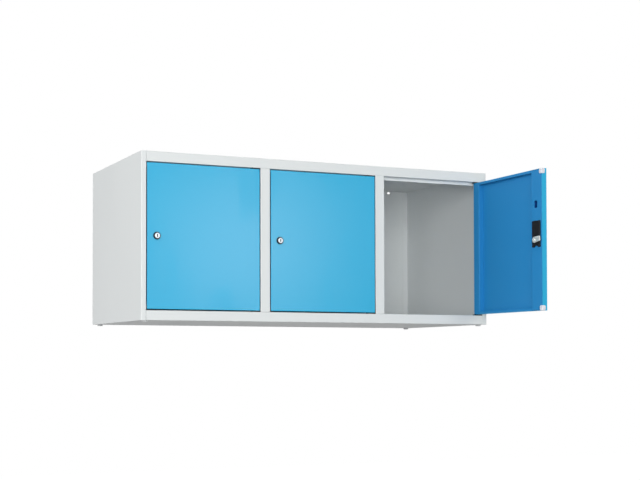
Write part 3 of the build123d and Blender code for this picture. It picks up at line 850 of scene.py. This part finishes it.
def new_piece(name, mesh, finish, body, slot, *stands_for):
    """A finished piece that rides on a body and stands for measured pieces."""
    mesh.materials.clear()
    mesh.materials.append(finish)
    piece = bpy.data.objects.new(name, mesh)
    bpy.context.scene.collection.objects.link(piece)
    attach(piece, body)
    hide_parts(*stands_for)
    return piece


def smooth_by_angle(mesh, degrees=40.0):
    """Smooth shading with sharp edges where two faces meet at more than an angle."""
    mesh.polygons.foreach_set("use_smooth", [True] * len(mesh.polygons))
    mesh.set_sharp_from_angle(angle=math.radians(degrees))


def turned(profile, centre, axis, steps=64):
    """A turned piece: each point (radius, height) of the profile runs round the axis through the centre.

    point = centre + axis * height + (side * cos + other * sin) * radius, for angles all the way round."""
    axis = np.asarray(axis, float)
    side = np.cross(axis, (0.0, 0.0, 1.0) if abs(axis[2]) < NEARLY_UPRIGHT else (1.0, 0.0, 0.0))
    side /= np.linalg.norm(side)
    other = np.cross(axis, side)
    angle = np.linspace(0.0, 2.0 * np.pi, steps, endpoint=False)
    around = np.cos(angle)[:, None] * side + np.sin(angle)[:, None] * other
    radius, height = np.asarray(profile, float).T
    return np.asarray(centre) + height[:, None, None] * axis + radius[:, None, None] * around[None]


def rounded_corner(inner, radius, start, end, steps=6):
    """Points of an arc with its centre at inner, from the start angle to the end angle in degrees."""
    angle = np.radians(np.linspace(start, end, steps))
    return np.stack([inner[0] + radius * np.cos(angle), inner[1] + radius * np.sin(angle)], axis=-1)


print("points on a quarter of a circle:", len(rounded_corner((0.0, 0.0), 1.0, 0.0, 90.0)))

# %% [markdown]
# ## Feet
# Four grey plastic glides keep the box off the locker below it. Each is a turned button with a soft rim
# and a short stem pressed through the sheet. The profile is the real half-section, from the sole round the
# rim to the stem's end.

# %% Turn the four feet
FOOT_RADIUS = 8.5
FOOT_HEIGHT = 4.5
FOOT_RIM = 1.4
FOOT_SHOULDER = 0.3
STEM_RADIUS = 3.0
END_FACE_RADIUS = 0.6
SHEET = 1.0
FEET = [name for name in nodes if name.startswith("foot_")]


def foot_profile():
    """Half-section in metres: flat sole, rounded rim, top under the sheet and stem through it."""
    sole = np.array([[END_FACE_RADIUS, -FOOT_HEIGHT]])
    rim = rounded_corner((FOOT_RADIUS - FOOT_RIM, -FOOT_HEIGHT + FOOT_RIM), FOOT_RIM, -90.0, 0.0)
    top = np.array([[FOOT_RADIUS, -FOOT_SHOULDER], [FOOT_RADIUS - FOOT_SHOULDER, 0.0],
                    [STEM_RADIUS, 0.0], [STEM_RADIUS, SHEET], [END_FACE_RADIUS, SHEET]])
    return np.concatenate([sole, rim, top]) * MM


for name in FEET:
    low, high = (np.array(corner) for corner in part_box(name))
    middle = (low + high) / 2
    profile = foot_profile()
    mesh = woven_mesh(name + "_glide", turned(profile, (middle[0], middle[1], 0.0), (0.0, 0.0, 1.0)))
    smooth_by_angle(mesh)
    new_piece(name + "_glide", mesh, foot_finish, "carcass", "foot_plastic", name)
print("feet turned:", len(FEET))

# %% [markdown]
# ## Corner caps of the doors
# Soft milky caps sit on the two lock-side corners of each door, so the steel doesn't clang on the frame.
# Each is a thin moulding that wraps the edge: a domed profile carried along a path that comes in over the
# inner face, turns the corner and runs down the edge. Its ends are rounded off by making the profile
# shorter and thinner there, which a block with a bevel can't do.


# %% The corner of each door: its lock-side inner edge and two directions
def door_corner(number):
    """The lock-side inner edge in plan, the way along the door, the way inwards, its bottom and top."""
    low, high = (np.array(corner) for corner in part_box(f"door_{number}_skin"))
    if number == OPEN_DOOR:
        return np.array([low[0], low[1]]), np.array([0.0, 1.0]), np.array([-1.0, 0.0]), low[2], high[2]
    return np.array([low[0], high[1]]), np.array([1.0, 0.0]), np.array([0.0, 1.0]), low[2], high[2]


print("lock-side corner of door 1:", door_corner(1)[0])

# %% The surface of a cap
CAP_ON_FACE = 12.0
CAP_ON_EDGE = 11.0
CAP_FACE_THICK = 3.2
CAP_EDGE_THICK = 1.0
CAP_HEIGHT = 16.0
CAP_ROUND = 5.5
CAP_SQUARENESS = 0.55
TURN_ROWS = 9
THINNEST_SQUARED = 0.02
CAP_SHARP_FROM = 50.0


def cap_grid(number, middle_z, steps=26, around=28):
    """Rows along the path, columns round the section.

    The path comes in along the face, turns on the corner in a quarter of an ellipse and goes down the edge.
    At each row the section is half a superellipse, as high as the cap and as thick as it stands, closed by
    a flat base on the steel."""
    corner, along, inward = door_corner(number)[:3]
    on_face = np.linspace(1.0, 0.0, steps)[:, None]
    turn = np.radians(np.linspace(0.0, 90.0, TURN_ROWS))[1:-1]
    on_edge = np.linspace(0.0, 1.0, steps)[:, None]
    path = np.concatenate([corner + along * CAP_ON_FACE * MM * on_face,
                           np.repeat(corner[None], len(turn), axis=0),
                           corner - inward * CAP_ON_EDGE * MM * on_edge])
    stand = np.concatenate([np.repeat(CAP_FACE_THICK * inward[None], steps, axis=0),
                            CAP_FACE_THICK * np.cos(turn)[:, None] * inward
                            - CAP_EDGE_THICK * np.sin(turn)[:, None] * along,
                            np.repeat(-CAP_EDGE_THICK * along[None], steps, axis=0)])
    thick = np.linalg.norm(stand, axis=1)
    from_end = np.concatenate([CAP_ON_FACE * (1.0 - on_face[:, 0]), np.full(len(turn), CAP_ON_FACE),
                               CAP_ON_EDGE * (1.0 - on_edge[:, 0])])
    into_round = np.maximum(CAP_ROUND - from_end, 0.0)
    half = CAP_HEIGHT / 2 - (CAP_ROUND - np.sqrt(np.maximum(CAP_ROUND**2 - into_round**2, 0.0)))
    dome = np.sqrt(np.maximum(1.0 - np.maximum(1.0 - from_end / thick, 0.0) ** 2, THINNEST_SQUARED))
    angle = np.linspace(0.0, np.pi, around)
    across = np.sign(np.cos(angle)) * np.abs(np.cos(angle)) ** CAP_SQUARENESS
    out = np.sin(angle) ** CAP_SQUARENESS
    off = dome[:, None] * out[None] * MM
    grid = np.empty((len(path), around, 3))
    grid[..., :2] = path[:, None] + stand[:, None] * off[..., None]
    grid[..., 2] = middle_z + half[:, None] * across[None] * MM
    return grid


print("rows and columns of a cap:", cap_grid(1, 0.0).shape[:2])

# %% Mould two caps for each door
for number in DOORS:
    bottom, top = door_corner(number)[3:]
    caps = [woven_mesh("cap", cap_grid(number, level)) for level in
            (bottom + CAP_HEIGHT / 2 * MM, top - CAP_HEIGHT / 2 * MM)]
    both = bmesh.new()
    for cap in caps:
        both.from_mesh(cap)
    mesh = bpy.data.meshes.new(f"door_{number}_corner_caps")
    both.to_mesh(mesh)
    both.free()
    smooth_by_angle(mesh, CAP_SHARP_FROM)
    new_piece(f"door_{number}_corner_caps", mesh, cap_finish, f"door_{number}", "clear_plastic",
              f"door_{number}_buffers")
print("corner caps moulded:", 2 * len(DOORS))

# %% [markdown]
# ## Lock collars
# The black collar round the barrel is a turned plastic ring with a soft front lip. As a closed profile it
# runs round the axis like a ring, so it stays open for the barrel.

# %% The collar's section, place and sizes
COLLAR_TAPER = 14.0
COLLAR_LIP = 1.1
BORE_EDGE = 0.35
BARREL_PLAY = 0.05
COLLAR_SHARP_FROM = 30.0


def collar_profile(base, stand, bore):
    """Closed half-section in metres: bore, base, tapered side, rounded front lip, bore edge."""
    front = base - stand * math.tan(math.radians(COLLAR_TAPER))
    side = rounded_corner((front - COLLAR_LIP, stand - COLLAR_LIP), COLLAR_LIP, COLLAR_TAPER, 90.0)
    inner = rounded_corner((bore + BORE_EDGE, stand - BORE_EDGE), BORE_EDGE, 90.0, 180.0, steps=4)
    return np.concatenate([[[bore, 0.0], [base, 0.0]], side, inner]) * MM


def lock_axis(number):
    """The lock's centre on the door's face and its outward direction."""
    low, high = (np.array(corner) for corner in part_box(f"lock_{number}_rosette"))
    middle = (low + high) / 2
    if number == OPEN_DOOR:
        return np.array([low[0], middle[1], middle[2]]), np.array([1.0, 0.0, 0.0])
    return np.array([middle[0], high[1], middle[2]]), np.array([0.0, -1.0, 0.0])


def collar_sizes(number):
    """Base radius, height and bore of the collar in millimetres, from the measured ring and barrel."""
    ring = np.subtract(*reversed(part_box(f"lock_{number}_rosette"))) / MM
    barrel = np.subtract(*reversed(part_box(f"lock_{number}_housing"))) / MM
    return ring[2] / 2, ring.min(), barrel[2] / 2 + BARREL_PLAY


print("collar of lock 1: radius, height and bore", [round(size, 2) for size in collar_sizes(1)], "mm")

# %% Turn the collars
for number in DOORS:
    centre, outward = lock_axis(number)
    base, stand, bore = collar_sizes(number)
    mesh = woven_mesh(f"lock_{number}_collar", turned(collar_profile(base, stand, bore), centre, outward),
                      round_trip=True)
    smooth_by_angle(mesh, COLLAR_SHARP_FROM)
    new_piece(f"lock_{number}_collar", mesh, plastic_finish, f"door_{number}", "black_plastic",
              f"lock_{number}_rosette")
print("collars turned:", len(DOORS))

# %% [markdown]
# ## Softened edges on the cut and moulded pieces
# The cases, cams and hinge bushes have the right outline already, but real plastic and pressed steel have
# no razor edges. A merged copy of each measured mesh gets a small bevel, which catches a line of light.

# %% Bevelled copies of measured pieces
CASE_EDGE = 0.5
CAM_EDGE = 0.45
BUSH_EDGE = 0.3
MERGE_WITHIN = 0.00001
FLAT_WITHIN = 1.0
SHARP_FROM = 40.0


def softened(name, width, body, finish, slot):
    """A copy of a measured piece with its loose triangles merged and its edges rounded a little."""
    shape = bmesh.new()
    shape.from_mesh(nodes[name].data)
    bmesh.ops.remove_doubles(shape, verts=shape.verts, dist=MERGE_WITHIN)
    bmesh.ops.dissolve_limit(shape, angle_limit=math.radians(FLAT_WITHIN), verts=shape.verts,
                             edges=shape.edges)
    mesh = bpy.data.meshes.new(name + "_softened")
    shape.to_mesh(mesh)
    shape.free()
    piece = new_piece(name + "_softened", mesh, finish, body, slot, name)
    bevel = piece.modifiers.new("soft_edges", "BEVEL")
    bevel.width = width * MM
    bevel.segments = 2
    bevel.limit_method = "ANGLE"
    bevel.angle_limit = math.radians(SHARP_FROM)
    bevel.use_clamp_overlap = True
    smooth_by_angle(mesh, SHARP_FROM)


for number in DOORS:
    softened(f"lock_{number}_case", CASE_EDGE, f"door_{number}", plastic_finish, "black_plastic")
    softened(f"lock_{number}_cam", CAM_EDGE, f"lock_{number}", zinc_finish, "zinc_steel")
for name in [n for n in nodes if n.startswith("hinge_bush")]:
    softened(name, BUSH_EDGE, "carcass", plastic_finish, "black_plastic")
